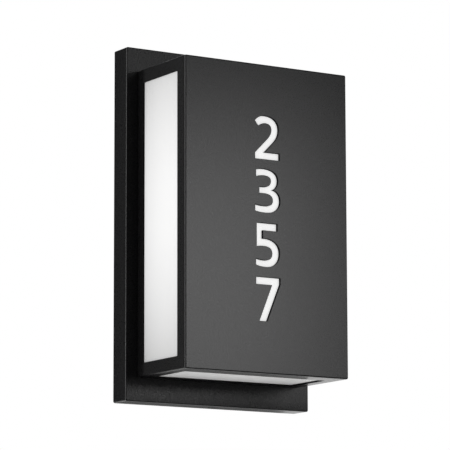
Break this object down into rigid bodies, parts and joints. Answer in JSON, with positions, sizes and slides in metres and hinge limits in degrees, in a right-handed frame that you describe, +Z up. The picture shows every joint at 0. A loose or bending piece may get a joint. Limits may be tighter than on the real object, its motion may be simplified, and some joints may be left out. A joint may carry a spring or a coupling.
{
  "type": "illuminated house number sign",
  "caption": "Wall light with lit side windows and a lit number plate: a deep black box head on a flat backplate that hooks onto a wall bracket.",
  "frame": {"origin": "on the wall, at the centre of the wall bracket's two screw slots, which is the middle of the backplate", "axes": "+Z up, +Y into the wall, +X to the right of someone who faces the sign"},
  "size_m": [0.184, 0.1, 0.305],
  "materials": {
    "black_coat": "satin black powder coat on aluminium",
    "opal": "opal acrylic sheet, lit from behind",
    "zinc_steel": "zinc plated steel",
    "green_steel": "green dyed earth screw",
    "black_steel": "black oxide steel",
    "foam": "closed cell foam",
    "rubber": "moulded rubber",
    "white_coat": "matt white reflector coat",
    "board_white": "white solder mask on aluminium",
    "led_phosphor": "phosphor filled lens",
    "driver_case": "moulded white case, potted",
    "terminal_plastic": "natural nylon",
    "brass": "plain brass",
    "lead_sleeve": "smooth silicone sleeve",
    "wire_black": "black wire insulation",
    "wire_green": "green wire insulation"
  },
  "bodies": {
    "bracket": {"mounting_bracket": "zinc_steel", "ground_screw": "green_steel"},
    "lamp": {"backplate": "black_coat", "board_connector": "terminal_plastic", "board_screws": "zinc_steel", "bottom_diffuser": "opal", "diffuser_clips": "zinc_steel", "driver_screws": "zinc_steel", "driver_wires": "wire_black", "ground_lead": "wire_green", "ground_ring": "zinc_steel", "ground_stud": "brass", "hanger": "zinc_steel", "hanger_screws": "zinc_steel", "head_gasket": "foam", "head_screws": "zinc_steel", "head_shell": "black_coat", "led_board": "board_white", "led_driver": "driver_case", "led_lead": "lead_sleeve", "led_tray": "white_coat", "leds": "led_phosphor", "left_diffuser": "opal", "number_diffuser": "opal", "number_plate": "black_coat", "plate_nuts": "zinc_steel", "plate_studs": "zinc_steel", "right_diffuser": "opal", "terminal_block": "terminal_plastic", "terminal_screws": "brass", "tray_screws": "zinc_steel", "wall_gasket": "foam", "wire_grommet": "rubber"},
    "set_screw": {"set_screw": "black_steel"}
  },
  "joints": [
    {"name": "lamp_lift", "type": "slide", "parent": "bracket", "child": "lamp", "axis": [0, 0, 1], "range_m": [0, 0.0045]},
    {"name": "set_screw_travel", "type": "slide", "parent": "lamp", "child": "set_screw", "axis": [0, 0, -1], "range_m": [0, 0.006]}
  ]
}
